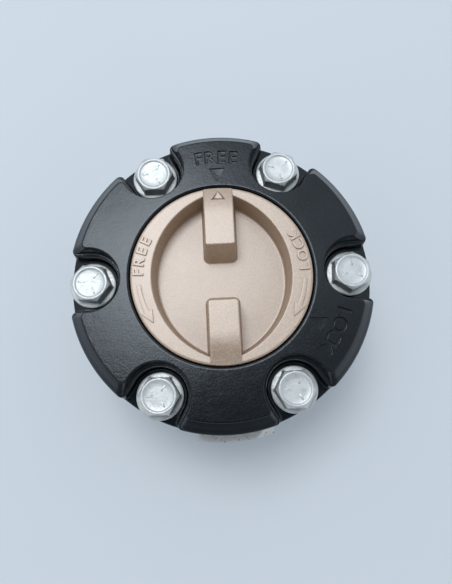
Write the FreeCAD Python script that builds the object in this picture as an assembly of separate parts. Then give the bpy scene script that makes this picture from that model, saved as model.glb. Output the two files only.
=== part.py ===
import FreeCAD, Part
import math
import os

# Manual locking hub for the front wheel of a four-wheel-drive truck.
# Frame: the origin is on the hub axis at the mounting face, +Z points out of the wheel, +Y to the FREE mark.
# All sizes are in millimetres. The mechanism is drawn in the FREE position, clutch up.

os.makedirs("parts", exist_ok=True)
V = FreeCAD.Vector
ORIGIN = V(0, 0, 0)
UP = V(0, 0, 1)

# Bolts and bolt circle
bolt_circle_diameter = 90.0
bolt_count = 6
bolt_diameter = 8.0
bolt_across_flats = 12.0
bolt_flange_diameter = 15.9
bolt_flange_thickness = 1.2
bolt_flange_slope = 0.9
bolt_flange_step = 0.2
bolt_head_height = 5.8
bolt_head_chamfer = 0.45
bolt_chamfer_slope = 0.58
bolt_dish_depth = 0.35
bolt_dish_margin = 0.65
bolt_protrusion = 14.0
bolt_tip_chamfer = 1.0
bolt_neck_inset = 0.4
bolt_hole_clearance = 0.5
bolt_turn_angles = [85.0, 41.0, 60.0, 52.0, 58.0, 60.0]

# How far a cutting tool runs past the face it cuts
overcut = 1.0

# Clutch stack, counted up from the ledge in the body
ledge_height = 1.4
clutch_floor_gap = 0.6
clutch_travel = 8.0
clutch_height = 12.0
clutch_counterbore_depth = 5.0
clutch_below_body_top = 2.0
spline_count = 36
spline_depth = 2.0
spline_clearance = 0.3
clutch_wall = 3.4
clutch_land = 3.6
clutch_tooth_share = 0.42
dog_count = 24
dog_depth = 1.7
dog_clearance = 0.3
dog_gap = 0.5
dog_gap_share = 0.58

# Cast body
body_wall_inside_bolts = 3.4
body_inset = 0.9
body_edge_chamfer = 1.0
pilot_inside_bolts = 12.0
pilot_length = 18.0
pilot_wall = 4.95
pilot_chamfer = 1.2
recess_radius = 10.0
recess_depth = 6.0
recess_bottom = 5.0
recess_top = 17.0
lug_reach = 3.7
lug_height = 10.0
lug_start_angle = -101.3
lug_end_angle = -70.5
lug_blend = 2.6
lug_overlap_angle = 1.0

# Bearing ring, spacer and snap rings at the inner end
hub_ring_end_inset = 7.0
hub_ring_flange_thickness = 1.9
hub_ring_flange_width = 2.55
hub_ring_top_gap = 0.1
hub_ring_wall = 5.87
fit_clearance = 0.1
running_clearance = 0.08
axial_play = 0.2
thrust_washer_thickness = 0.5
thrust_washer_width = 3.2
spacer_thickness = 1.5
spacer_clearance = 0.3
snap_ring_thickness = 1.3
snap_ring_groove_depth = 1.35
snap_ring_width = 3.1
snap_ring_thinning = 0.52
snap_ring_groove_play = 0.15
snap_ring_gap_angle = 26.0
snap_ring_ear_radius = 1.5
snap_ring_ear_overlap = 0.3
snap_ring_ear_hole = 0.6
ring_spacer_gap = 0.5

# Inner hub that slides on the axle
axle_spline_count = 27
axle_spline_radius = 14.5
axle_spline_depth = 1.5
axle_counterbore_step = 2.5
axle_counterbore_depth = 4.5
journal_end_inset = 2.0
journal_chamfer = 0.8

# Cover
gasket_thickness = 0.5
gasket_inner_margin = 0.9
gasket_inset = 0.6
rim_beyond_bolts = 7.4
cover_bore_wall = 3.0
cover_cavity_margin = 1.3
web_thickness = 3.5
web_hole_clearance = 0.3
seat_depth = 10.0
bevel_height = 5.1
bevel_width = 4.1
pocket_floor_half_width = 9.3
pocket_step_half_width = 9.8
pocket_ledge_half_width = 10.6
pocket_top_half_width = 11.0
lobe_corner_radius = 3.0
lobe_corner_share = 0.92
edge_break = 0.5
cover_base_chamfer = 0.8
bore_lip = 0.5

# Dial
dial_gap = 0.4
dial_floor_thickness = 3.0
grip_pocket_depth = 9.0
grip_pocket_rim = 1.1
grip_pocket_offset = 6.1
grip_pocket_draft = 0.9
grip_half_width_top = 5.0
grip_half_width_base = 6.0
grip_foot = 6.0
grip_nose = 9.3
grip_flat_end = 20.0
grip_corner_base = 2.0
grip_corner_top = 1.0
grip_corner_share = 0.6
grip_root = 1.0
grip_rise = 2.7
grip_edge_radius = 0.5
dial_edge_break = 0.5
dial_end_play = 0.3
skirt_inset = 6.8
skirt_wall = 3.5
skirt_below_slot = 1.7
dial_ring_play = 0.4
ring_above_fingers = 1.9

# O-ring on the dial
o_ring_section = 1.5
o_ring_groove_width = 2.2
o_ring_groove_above_floor = 0.9
o_ring_bore_gap = 0.15

# Cam slots and follower
cam_angle = 120.0
cam_count = 3
pin_radius = 1.5
pin_clearance = 0.3
pin_above_clutch = 3.0
pin_end_margin = 0.5
pin_head_height = 0.4
cam_end_margin_angle = 6.0
finger_angle = 22.0
finger_thickness = 1.2
finger_clearance = 0.4
finger_above_pin = 0.6
follower_thickness = 1.6
follower_edge_gap = 0.4
follower_below_top = 0.2
first_pin_angle = 90.0

# Springs
tension_wire = 1.2
tension_edge_gap = 0.9
tension_turns = 1.5
compression_wire = 2.0
compression_turns = 2.5
compression_inset = 1.3

# Detent
detent_ball_radius = 2.0
detent_hole_clearance = 0.15
detent_inset = 3.8
detent_ball_drop = 1.6
detent_hole_depth = 7.5
detent_track_clearance = 0.3
detent_dimple_extra = 0.25
detent_wire = 0.5
detent_turns = 4.0
detent_angle = 180.0

# Dowel pins between body and cover
dowel_radius = 2.5
dowel_inside_bolts = 1.0
dowel_depth_in_body = 4.0
dowel_depth_in_cover = 4.5
dowel_clearance = 0.05
dowel_end_chamfer = 0.5

# Radii worked out from the bolt circle inwards
bolt_circle_radius = bolt_circle_diameter / 2
bolt_radius = bolt_diameter / 2
bolt_hole_radius = bolt_radius + bolt_hole_clearance
cover_radius = bolt_circle_radius + rim_beyond_bolts
body_radius = cover_radius - body_inset
body_spline_groove = bolt_circle_radius - bolt_hole_radius - body_wall_inside_bolts
body_spline_tip = body_spline_groove - spline_depth
clutch_tip = body_spline_groove - spline_clearance
clutch_root = body_spline_tip - spline_clearance
clutch_counterbore = clutch_root - clutch_wall
clutch_groove = clutch_counterbore - clutch_land
dog_tip = clutch_groove - dog_clearance
dog_root = dog_tip - dog_depth
clutch_dog_tip = dog_root + dog_clearance
pilot_radius = bolt_circle_radius - pilot_inside_bolts
pilot_bore = pilot_radius - pilot_wall
hub_ring_radius = pilot_bore - fit_clearance
hub_ring_bore = hub_ring_radius - hub_ring_wall
journal_radius = hub_ring_bore - running_clearance
bore_radius = bolt_circle_radius - pocket_top_half_width - cover_bore_wall
dial_radius = bore_radius - dial_gap
skirt_radius = dial_radius - skirt_inset
skirt_bore = skirt_radius - skirt_wall
cavity_radius = clutch_root + spline_clearance + cover_cavity_margin - gasket_inner_margin
detent_radius = dial_radius - detent_inset

# Heights worked out from the ledge upwards
clutch_bottom = ledge_height + clutch_floor_gap + clutch_travel
clutch_top = clutch_bottom + clutch_height
body_top = clutch_top + clutch_below_body_top
cover_bottom = body_top + gasket_thickness
pin_height = clutch_top + pin_above_clutch
finger_top = pin_height + pin_radius + finger_above_pin
dial_ring_bottom = finger_top + ring_above_fingers
web_bottom = dial_ring_bottom + snap_ring_thickness + dial_ring_play
web_top = web_bottom + web_thickness
dial_bottom = web_top + dial_end_play
dial_floor = dial_bottom + dial_floor_thickness
cover_top = dial_floor + grip_pocket_depth
seat_height = cover_top - seat_depth
bevel_bottom = cover_top - bevel_height
skirt_bottom = pin_height - clutch_travel - pin_radius - pin_clearance - skirt_below_slot
hub_ring_top = ledge_height - hub_ring_top_gap
hub_ring_bottom = -pilot_length + hub_ring_end_inset
hub_ring_flange_bottom = hub_ring_top - hub_ring_flange_thickness
washer_bottom = hub_ring_top + axial_play
head_bottom = washer_bottom + thrust_washer_thickness + axial_play
head_top = clutch_bottom - dog_gap
journal_bottom = -pilot_length + journal_end_inset
lower_ring_top = hub_ring_bottom - axial_play
inner_ring_top = lower_ring_top - spacer_thickness - axial_play
bolt_angles = [360.0 / bolt_count * number for number in range(bolt_count)]
lobe_angles = [angle + 180.0 / bolt_count for angle in bolt_angles]


def turned(shape, angle):
    """A copy of the shape, turned about the hub axis."""
    copy = shape.copy()
    copy.rotate(ORIGIN, UP, angle)
    return copy


def polar(radius, angle, height):
    """The point at this radius, angle in degrees and height."""
    return V(radius * math.cos(math.radians(angle)), radius * math.sin(math.radians(angle)), height)


def cylinder(radius, bottom, top, centre=ORIGIN):
    return Part.makeCylinder(radius, top - bottom, V(centre.x, centre.y, bottom), UP)


def ring(outer, inner, bottom, top):
    return cylinder(outer, bottom, top).cut(cylinder(inner, bottom, top))


def turned_profile(points):
    """A full turn of a closed outline of (radius, height) points."""
    corners = [V(radius, 0, height) for radius, height in points]
    outline = Part.makePolygon(corners + corners[:1])
    return Part.Face(outline).revolve(ORIGIN, UP, 360)


def extruded(wire, height):
    return Part.Face(wire).extrude(V(0, 0, height))


def toothed_wire(count, root, tip, height, tooth_share=0.5, flank_angle=0.8):
    """Closed outline of straight-sided teeth on a circle, with arcs at tips and roots."""
    pitch = 360.0 / count
    half_tooth = pitch * tooth_share / 2
    edges = []
    for number in range(count):
        middle = pitch * number
        tip_start = polar(tip, middle - half_tooth + flank_angle, height)
        tip_end = polar(tip, middle + half_tooth - flank_angle, height)
        root_start = polar(root, middle + half_tooth, height)
        root_end = polar(root, middle + pitch - half_tooth, height)
        next_tip = polar(tip, middle + pitch - half_tooth + flank_angle, height)
        edges.append(Part.Arc(tip_start, polar(tip, middle, height), tip_end).toShape())
        edges.append(Part.LineSegment(tip_end, root_start).toShape())
        edges.append(Part.Arc(root_start, polar(root, middle + pitch / 2, height), root_end).toShape())
        edges.append(Part.LineSegment(root_end, next_tip).toShape())
    return Part.Wire(edges)


def coil(mean_radius, wire_diameter, bottom, top, turns, steps_per_turn=12):
    """A coil spring of round wire that stands between two heights, lofted through circles along its helix."""
    wire_radius = wire_diameter / 2
    rise = top - bottom - wire_diameter
    slope = math.atan2(rise / turns, 2 * math.pi * mean_radius)
    steps = math.ceil(turns * steps_per_turn)
    sections = []
    for step in range(steps + 1):
        angle = 360.0 * turns * step / steps
        middle = polar(mean_radius, angle, bottom + wire_radius + rise * step / steps)
        along = polar(math.cos(slope), angle + 90, math.sin(slope))
        sections.append(Part.Wire([Part.makeCircle(wire_radius, middle, along)]))
    return Part.makeLoft(sections, True, True)


def wedge(outer, start_angle, end_angle, bottom, top):
    """A slice of a disc between two angles."""
    first = polar(outer, start_angle, bottom)
    middle = polar(outer, (start_angle + end_angle) / 2, bottom)
    last = polar(outer, end_angle, bottom)
    centre = V(0, 0, bottom)
    edges = [Part.LineSegment(centre, first).toShape()]
    edges.append(Part.Arc(first, middle, last).toShape())
    edges.append(Part.LineSegment(last, centre).toShape())
    return extruded(Part.Wire(edges), top - bottom)


def snap_ring(inner, outer, bottom, gap_angle):
    """An open ring, thicker opposite its gap, as stamped retaining rings are."""
    full = ring(outer, inner, bottom, bottom + snap_ring_thickness)
    round_trim = cylinder(outer, bottom, bottom + snap_ring_thickness, V(-snap_ring_thinning, 0, 0))
    opening = wedge(outer * 2, -gap_angle / 2, gap_angle / 2, bottom, bottom + snap_ring_thickness)
    return full.common(round_trim).cut(opening)


def snap_ring_ears(radius, ear_radius, bottom, gap_angle):
    """The two pierced ears of a retaining ring, one each side of the gap."""
    ears = []
    ear_angle = gap_angle / 2 + math.degrees(ear_radius / radius)
    for side in (-1, 1):
        centre = polar(radius, side * ear_angle, 0)
        ear = cylinder(ear_radius, bottom, bottom + snap_ring_thickness, centre)
        hole = cylinder(snap_ring_ear_hole, bottom, bottom + snap_ring_thickness, centre)
        ears.append((ear, hole))
    return ears


def bolt_hole_tools(bottom, top):
    tools = []
    for angle in bolt_angles:
        tools.append(cylinder(bolt_hole_radius, bottom, top, polar(bolt_circle_radius, angle, 0)))
    return tools


def dowel_places():
    radius = bolt_circle_radius - dowel_inside_bolts
    return [polar(radius, lobe_angles[0], 0), polar(radius, lobe_angles[0] + 180.0, 0)]


def make_body():
    """Cast body: flange with a pilot sleeve, splined bore, rim recesses and a rough-cast lug."""
    blank = turned_profile([
        (pilot_bore, -pilot_length), (pilot_radius - pilot_chamfer, -pilot_length),
        (pilot_radius, -pilot_length + pilot_chamfer), (pilot_radius, 0),
        (body_radius - body_edge_chamfer, 0), (body_radius, body_edge_chamfer),
        (body_radius, body_top - body_edge_chamfer), (body_radius - body_edge_chamfer, body_top),
        (body_spline_tip - spline_depth, body_top), (body_spline_tip - spline_depth, ledge_height),
        (hub_ring_radius + hub_ring_flange_width + fit_clearance, ledge_height),
        (hub_ring_radius + hub_ring_flange_width + fit_clearance, hub_ring_flange_bottom),
        (pilot_bore, hub_ring_flange_bottom)])
    spline = toothed_wire(spline_count, body_spline_tip, body_spline_groove, ledge_height)
    body = blank.cut(extruded(spline, body_top - ledge_height))
    recess_reach = body_radius - recess_depth + recess_radius
    for angle in lobe_angles:
        body = body.cut(cylinder(recess_radius, recess_bottom, recess_top, polar(recess_reach, angle, 0)))
    lug_radius = body_radius + body_inset + lug_reach
    lug_blank = wedge(lug_radius, lug_start_angle, lug_end_angle, body_top - lug_height, body_top)
    lug_core = wedge(body_radius - lug_blend, lug_start_angle - lug_overlap_angle,
                     lug_end_angle + lug_overlap_angle, body_top - lug_height, body_top)
    corner = polar(lug_radius, lug_end_angle, 0)
    trim = cylinder(lug_blend, body_top - lug_height, body_top, corner)
    lug = lug_blank.cut(lug_core).cut(trim)
    lower_edge = turned_profile([
        (body_radius, body_top - lug_height), (lug_radius + overcut, body_top - lug_height),
        (lug_radius + overcut, body_top - lug_height + lug_reach + overcut)])
    lug = lug.cut(lower_edge)
    body = body.fuse(lug).removeSplitter()
    groove_outer = pilot_bore + snap_ring_groove_depth
    groove_bottom = lower_ring_top - snap_ring_thickness - snap_ring_groove_play
    groove = ring(groove_outer, pilot_bore - overcut, groove_bottom, lower_ring_top + snap_ring_groove_play)
    body = body.cut(groove)
    for tool in bolt_hole_tools(-overcut, body_top + overcut):
        body = body.cut(tool)
    for place in dowel_places():
        hole_bottom = body_top - dowel_depth_in_body
        body = body.cut(cylinder(dowel_radius + dowel_clearance, hole_bottom, body_top, place))
    return body


def make_hub_ring():
    """Bearing ring pressed into the pilot, in which the inner hub turns."""
    flange_radius = hub_ring_radius + hub_ring_flange_width
    return turned_profile([
        (hub_ring_bore, hub_ring_bottom), (hub_ring_radius, hub_ring_bottom),
        (hub_ring_radius, hub_ring_flange_bottom), (flange_radius, hub_ring_flange_bottom),
        (flange_radius, hub_ring_top), (hub_ring_bore, hub_ring_top)])


def make_inner_hub():
    """Inner hub: dog teeth on its head, journal below, splined bore for the axle."""
    head = extruded(toothed_wire(dog_count, dog_root, dog_tip, head_bottom), head_top - head_bottom)
    journal = turned_profile([
        (0, journal_bottom), (journal_radius - journal_chamfer, journal_bottom),
        (journal_radius, journal_bottom + journal_chamfer), (journal_radius, head_bottom), (0, head_bottom)])
    groove_bottom = inner_ring_top - snap_ring_thickness - snap_ring_groove_play
    groove = ring(journal_radius + overcut, journal_radius - snap_ring_groove_depth,
                  groove_bottom, inner_ring_top + snap_ring_groove_play)
    hub = head.fuse(journal).cut(groove)
    spline = toothed_wire(axle_spline_count, axle_spline_radius - axle_spline_depth,
                          axle_spline_radius, journal_bottom)
    hub = hub.cut(extruded(spline, head_top - journal_bottom))
    counterbore = cylinder(axle_spline_radius + axle_counterbore_step,
                           head_top - axle_counterbore_depth, head_top)
    return hub.cut(counterbore).removeSplitter()


def make_thrust_washer():
    inner = journal_radius + spacer_clearance
    return ring(inner + thrust_washer_width, inner, washer_bottom, washer_bottom + thrust_washer_thickness)


def make_spacer():
    outer = pilot_bore + snap_ring_groove_depth - snap_ring_width - ring_spacer_gap
    return ring(outer, journal_radius + spacer_clearance, lower_ring_top - spacer_thickness, lower_ring_top)


def make_body_snap_ring():
    """Retaining ring sprung outwards into the pilot's groove."""
    outer = pilot_bore + snap_ring_groove_depth - fit_clearance
    inner = pilot_bore + snap_ring_groove_depth - snap_ring_width
    bottom = lower_ring_top - snap_ring_thickness
    opening = wedge(outer * 2, -snap_ring_gap_angle / 2, snap_ring_gap_angle / 2, bottom, lower_ring_top)
    return ring(outer, inner, bottom, lower_ring_top).cut(opening)


def make_eared_snap_ring(shaft_radius, bottom):
    """Retaining ring with two pierced ears, sprung onto a shaft's groove."""
    inner = shaft_radius - snap_ring_groove_depth + fit_clearance
    outer = inner + snap_ring_width
    shape = snap_ring(inner, outer, bottom, snap_ring_gap_angle)
    ears = snap_ring_ears(outer - snap_ring_ear_overlap, snap_ring_ear_radius, bottom, snap_ring_gap_angle)
    for ear, hole in ears:
        shape = shape.fuse(ear)
    for ear, hole in ears:
        shape = shape.cut(hole)
    return shape.cut(cylinder(inner, bottom, bottom + snap_ring_thickness)).removeSplitter()


def make_clutch():
    """Clutch ring: outer splines slide in the body, inner teeth drop over the dog teeth."""
    blank = extruded(toothed_wire(spline_count, clutch_root, clutch_tip, clutch_bottom, clutch_tooth_share),
                     clutch_height)
    dogs = toothed_wire(dog_count, clutch_dog_tip, clutch_groove, clutch_bottom, dog_gap_share)
    clutch = blank.cut(extruded(dogs, clutch_height))
    return clutch.cut(cylinder(clutch_counterbore, clutch_top - clutch_counterbore_depth, clutch_top))


def make_follower():
    """Stamped follower: a flange with three bent-up fingers, each with a cam pin."""
    inner = skirt_radius + finger_clearance
    flange_top = clutch_top - follower_below_top
    flange_bottom = flange_top - follower_thickness
    follower = ring(clutch_counterbore - follower_edge_gap, inner, flange_bottom, flange_top)
    finger_ring = ring(inner + finger_thickness, inner, flange_bottom, finger_top)
    for number in range(cam_count):
        angle = first_pin_angle + 360.0 / cam_count * number
        slice_shape = wedge(clutch_counterbore, angle - finger_angle / 2, angle + finger_angle / 2,
                            flange_bottom, finger_top)
        follower = follower.fuse(finger_ring.common(slice_shape))
    follower = follower.removeSplitter()
    for number in range(cam_count):
        angle = first_pin_angle + 360.0 / cam_count * number
        start = skirt_bore + pin_end_margin
        pin = Part.makeCylinder(pin_radius, inner + finger_thickness + pin_head_height - start,
                                polar(start, angle, pin_height), polar(1, angle, 0))
        follower = follower.fuse(pin)
    return follower


def make_tension_spring():
    mean_radius = clutch_counterbore - tension_edge_gap - tension_wire / 2
    bottom = clutch_top - clutch_counterbore_depth
    top = clutch_top - follower_below_top - follower_thickness
    return coil(mean_radius, tension_wire, bottom, top, tension_turns)


def make_compression_spring():
    mean_radius = clutch_root - compression_inset - compression_wire / 2
    return coil(mean_radius, compression_wire, clutch_top, web_bottom, compression_turns)


def make_cover_gasket():
    inner = body_spline_groove + gasket_inner_margin
    gasket = ring(cover_radius - gasket_inset, inner, body_top, cover_bottom)
    for tool in bolt_hole_tools(body_top, cover_bottom):
        gasket = gasket.cut(tool)
    for place in dowel_places():
        gasket = gasket.cut(cylinder(dowel_radius + dowel_clearance, body_top, cover_bottom, place))
    return gasket


def lobed_wire(outer, half_width, height):
    """Outline of the lobes: an outer circle with a U-shaped pocket at each bolt.

    The lobe corners are rounded as far as the straight side of the pocket allows.
    """
    room = (outer ** 2 - half_width ** 2 - bolt_circle_radius ** 2) / (2 * (outer + half_width))
    corner = min(lobe_corner_radius, lobe_corner_share * room)
    centre_x = math.sqrt((outer - corner) ** 2 - (half_width + corner) ** 2)
    centre_y = half_width + corner
    reach = math.hypot(centre_x, centre_y)
    outer_point = V(centre_x * outer / reach, centre_y * outer / reach, height)
    side_point = V(centre_x, half_width, height)
    inward = V(centre_x / reach, centre_y / reach - 1, 0).normalize()
    corner_middle = V(centre_x + corner * inward.x, centre_y + corner * inward.y, height)
    u_start = V(bolt_circle_radius, half_width, height)
    u_middle = V(bolt_circle_radius - half_width, 0, height)

    def flipped(point):
        return V(point.x, -point.y, point.z)

    pitch = 360.0 / bolt_count
    half_pocket = math.degrees(math.atan2(outer_point.y, outer_point.x))
    lobe = Part.Arc(outer_point, polar(outer, pitch / 2, height), polar(outer, pitch - half_pocket, height))
    pieces = [
        Part.Arc(flipped(outer_point), flipped(corner_middle), flipped(side_point)).toShape(),
        Part.LineSegment(flipped(side_point), flipped(u_start)).toShape(),
        Part.Arc(flipped(u_start), u_middle, u_start).toShape(),
        Part.LineSegment(u_start, side_point).toShape(),
        Part.Arc(side_point, corner_middle, outer_point).toShape(),
        lobe.toShape()]
    edges = []
    for angle in bolt_angles:
        for piece in pieces:
            edges.append(turned(piece, angle))
    return Part.Wire(edges)


def lobed_tier(lower, upper):
    """The solid between two lobed outlines, each given as outer radius, pocket half-width and height."""
    return Part.makeLoft([lobed_wire(*lower), lobed_wire(*upper)], True, True)


def make_cover():
    """Die-cast cover: six lobes between the bolt pockets, a bore for the dial and a web under it."""
    base = turned_profile([
        (0, cover_bottom), (cover_radius - cover_base_chamfer, cover_bottom),
        (cover_radius, cover_bottom + cover_base_chamfer), (cover_radius, seat_height), (0, seat_height)])
    bevel_top = cover_top - edge_break
    top_radius = cover_radius - bevel_width
    lower_tier = lobed_tier((cover_radius, pocket_floor_half_width, seat_height),
                            (cover_radius, pocket_step_half_width, bevel_bottom))
    upper_tier = lobed_tier((cover_radius, pocket_ledge_half_width, bevel_bottom),
                            (top_radius + edge_break, pocket_top_half_width, bevel_top))
    top_edge = lobed_tier((top_radius + edge_break, pocket_top_half_width, bevel_top),
                          (top_radius, pocket_top_half_width + edge_break, cover_top))
    cover = base.fuse([lower_tier, upper_tier, top_edge]).removeSplitter()
    inside = turned_profile([
        (0, cover_bottom - overcut), (cavity_radius, cover_bottom - overcut), (cavity_radius, web_bottom),
        (skirt_radius + web_hole_clearance, web_bottom), (skirt_radius + web_hole_clearance, web_top),
        (bore_radius, web_top), (bore_radius, cover_top - bore_lip),
        (bore_radius + bore_lip + overcut, cover_top + overcut), (0, cover_top + overcut)])
    cover = cover.cut(inside)
    for tool in bolt_hole_tools(cover_bottom - overcut, seat_height + overcut):
        cover = cover.cut(tool)
    for place in dowel_places():
        cover = cover.cut(cylinder(dowel_radius + dowel_clearance, cover_bottom,
                                   cover_bottom + dowel_depth_in_cover, place))
    ball_height = web_top - detent_ball_drop + detent_ball_radius + dial_end_play
    track_radius = detent_ball_radius + detent_track_clearance
    start = polar(detent_radius, detent_angle, ball_height)
    section = Part.Face(Part.Wire([Part.makeCircle(track_radius, start, polar(1, detent_angle + 90, 0))]))
    cover = cover.cut(section.revolve(ORIGIN, UP, -cam_angle))
    for angle in (detent_angle, detent_angle - cam_angle):
        centre = polar(detent_radius, angle, ball_height - detent_dimple_extra)
        cover = cover.cut(Part.makeSphere(track_radius, centre))
    return cover


def grip_wire(half_width, nose, corner, height):
    """Outline of a grip bar in plan: parallel sides and an inner end with rounded corners."""
    radius = min(corner, half_width * grip_corner_share)
    outer = dial_radius + 2 * overcut
    middle = radius * (1 - math.sqrt(0.5))
    left, right = -half_width, half_width
    points = [V(right, outer, height), V(right, nose + radius, height), V(right - radius, nose, height),
              V(left + radius, nose, height), V(left, nose + radius, height), V(left, outer, height)]
    right_arc = Part.Arc(points[1], V(right - middle, nose + middle, height), points[2])
    left_arc = Part.Arc(points[3], V(left + middle, nose + middle, height), points[4])
    return Part.Wire([
        Part.LineSegment(points[0], points[1]).toShape(), right_arc.toShape(),
        Part.LineSegment(points[2], points[3]).toShape(), left_arc.toShape(),
        Part.LineSegment(points[4], points[5]).toShape(), Part.LineSegment(points[5], points[0]).toShape()])


def make_grip_bar():
    """One grip bar at +Y, flat on top over its inner half and curving down to the rim."""
    peak = cover_top + grip_rise
    bar = Part.makeLoft([grip_wire(grip_half_width_base, grip_foot, grip_corner_base, dial_floor - grip_root),
                         grip_wire(grip_half_width_top, grip_nose, grip_corner_top, peak)], True, True)
    bar = bar.common(cylinder(dial_radius, dial_floor - grip_root, peak + overcut))
    run = dial_radius - grip_flat_end
    crown_radius = (run ** 2 + grip_rise ** 2) / (2 * grip_rise)
    half_turn = math.asin(run / crown_radius) / 2
    crown_middle = V(-dial_radius, grip_flat_end + crown_radius * math.sin(half_turn),
                     peak - crown_radius * (1 - math.cos(half_turn)))
    crown_start, crown_end = V(-dial_radius, grip_flat_end, peak), V(-dial_radius, dial_radius, cover_top)
    above_end = V(-dial_radius, dial_radius, peak + overcut)
    above_start = V(-dial_radius, grip_flat_end, peak + overcut)
    outline = Part.Wire([
        Part.Arc(crown_start, crown_middle, crown_end).toShape(),
        Part.LineSegment(crown_end, above_end).toShape(),
        Part.LineSegment(above_end, above_start).toShape(),
        Part.LineSegment(above_start, crown_start).toShape()])
    bar = bar.cut(Part.Face(outline).extrude(V(2 * dial_radius, 0, 0)))
    top_edges = []
    for edge in bar.Edges:
        lowest = min(vertex.Z for vertex in edge.Vertexes)
        from_flat_end = max(abs(vertex.Y - grip_flat_end) for vertex in edge.Vertexes)
        if lowest >= cover_top - fit_clearance and from_flat_end > fit_clearance:
            top_edges.append(edge)
    return bar.makeFillet(grip_edge_radius, top_edges)


def lens_wire(circle_radius, height):
    """Outline of the grip pocket: the overlap of two circles set to either side of the axis."""
    tip = math.sqrt(circle_radius ** 2 - grip_pocket_offset ** 2)
    side = circle_radius - grip_pocket_offset
    top, bottom = V(0, tip, height), V(0, -tip, height)
    left = Part.Arc(top, V(-side, 0, height), bottom).toShape()
    right = Part.Arc(bottom, V(side, 0, height), top).toShape()
    return Part.Wire([left, right])


def cam_slot():
    """One helical slot through the skirt, falling by the clutch's travel as the dial turns."""
    height = 2 * (pin_radius + pin_clearance)
    turn = cam_angle + 2 * cam_end_margin_angle
    rise = clutch_travel * turn / cam_angle
    pitch = clutch_travel * 360.0 / cam_angle
    middle_radius = (skirt_radius + skirt_bore) / 2
    path = Part.makeHelix(pitch, rise, middle_radius)
    inner, outer = skirt_bore - overcut, skirt_radius + overcut
    corners = [V(inner, 0, -height / 2), V(outer, 0, -height / 2), V(outer, 0, height / 2),
               V(inner, 0, height / 2)]
    section = Part.makePolygon(corners + corners[:1])
    slot = Part.Wire(path.Edges).makePipeShell([section], True, True)
    slot = slot.mirror(ORIGIN, UP)
    end_rise = clutch_travel * cam_end_margin_angle / cam_angle
    slot.translate(V(0, 0, pin_height + end_rise))
    return turned(slot, first_pin_angle - cam_end_margin_angle)


def make_dial():
    """Cast dial: flush rim, lens-shaped grip pocket with two bars, and a skirt with three cam slots."""
    ring_groove_top = dial_ring_bottom + snap_ring_thickness + snap_ring_groove_play
    groove_radius = skirt_radius - snap_ring_groove_depth
    dial = turned_profile([
        (skirt_bore, skirt_bottom), (skirt_radius, skirt_bottom),
        (skirt_radius, dial_ring_bottom - snap_ring_groove_play),
        (groove_radius, dial_ring_bottom - snap_ring_groove_play), (groove_radius, ring_groove_top),
        (skirt_radius, ring_groove_top), (skirt_radius, dial_bottom), (dial_radius, dial_bottom),
        (dial_radius, cover_top - dial_edge_break), (dial_radius - dial_edge_break, cover_top),
        (0, cover_top), (0, dial_bottom), (skirt_bore, dial_bottom)])
    opening_radius = dial_radius - grip_pocket_rim
    pocket = Part.makeLoft([lens_wire(opening_radius - grip_pocket_draft, dial_floor),
                            lens_wire(opening_radius, cover_top)], True, True)
    lip = extruded(lens_wire(opening_radius, cover_top), overcut)
    dial = dial.cut(pocket).cut(lip)
    bar = make_grip_bar()
    dial = dial.fuse([bar, turned(bar, 180)]).removeSplitter()
    groove_bottom = dial_floor + o_ring_groove_above_floor
    groove_top = groove_bottom + o_ring_groove_width
    dial = dial.cut(ring(dial_radius + overcut, o_ring_seat(), groove_bottom, groove_top))
    slot = cam_slot()
    for number in range(cam_count):
        dial = dial.cut(turned(slot, 360.0 / cam_count * number))
    hole_radius = detent_ball_radius + detent_hole_clearance
    hole = cylinder(hole_radius, dial_bottom, dial_bottom + detent_hole_depth,
                    polar(detent_radius, detent_angle, 0))
    return dial.cut(hole)


def o_ring_seat():
    """Radius of the floor of the O-ring's groove."""
    return bore_radius - o_ring_bore_gap - o_ring_section


def make_dial_o_ring():
    height = dial_floor + o_ring_groove_above_floor + o_ring_groove_width / 2
    return Part.makeTorus(o_ring_seat() + o_ring_section / 2, o_ring_section / 2, V(0, 0, height), UP)


def make_detent_ball():
    height = web_top - detent_ball_drop + detent_ball_radius + dial_end_play
    return Part.makeSphere(detent_ball_radius, polar(detent_radius, detent_angle, height))


def make_detent_spring():
    bottom = web_top - detent_ball_drop + 2 * detent_ball_radius + dial_end_play
    mean_radius = detent_ball_radius - detent_wire
    spring = coil(mean_radius, detent_wire, bottom, dial_bottom + detent_hole_depth, detent_turns)
    spring.translate(polar(detent_radius, detent_angle, 0))
    return spring


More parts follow.
